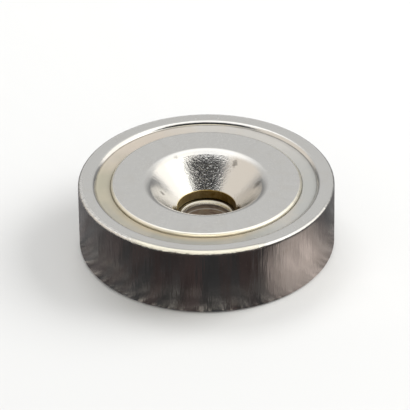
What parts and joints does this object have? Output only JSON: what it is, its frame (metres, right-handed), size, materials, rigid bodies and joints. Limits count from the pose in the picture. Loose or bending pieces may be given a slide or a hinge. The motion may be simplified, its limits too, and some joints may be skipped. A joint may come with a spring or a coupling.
{
  "type": "magnet fishing magnet",
  "caption": "Round nickel-plated steel pot magnet with a bonded ring magnet, cast resin ring and a countersunk through hole for a screw or an eyebolt.",
  "frame": {"origin": "centre of the cup's flat back face, on the turning axis", "axes": "+Z runs from the flat back through the screw hole and out of the holding face; X and Y are alike, because every piece is turned about Z"},
  "size_m": [0.025, 0.025, 0.007],
  "materials": {
    "cup_plating": "bright nickel plating over drawn steel",
    "magnet_plating": "satin nickel plating over sintered magnet, coarse in the countersink",
    "cast_resin": "glossy translucent epoxy",
    "adhesive": "cured adhesive"
  },
  "bodies": {
    "root": {"steel_cup": "cup_plating", "ring_magnet": "magnet_plating", "resin_ring": "cast_resin", "bond_film": "adhesive"}
  },
  "joints": []
}
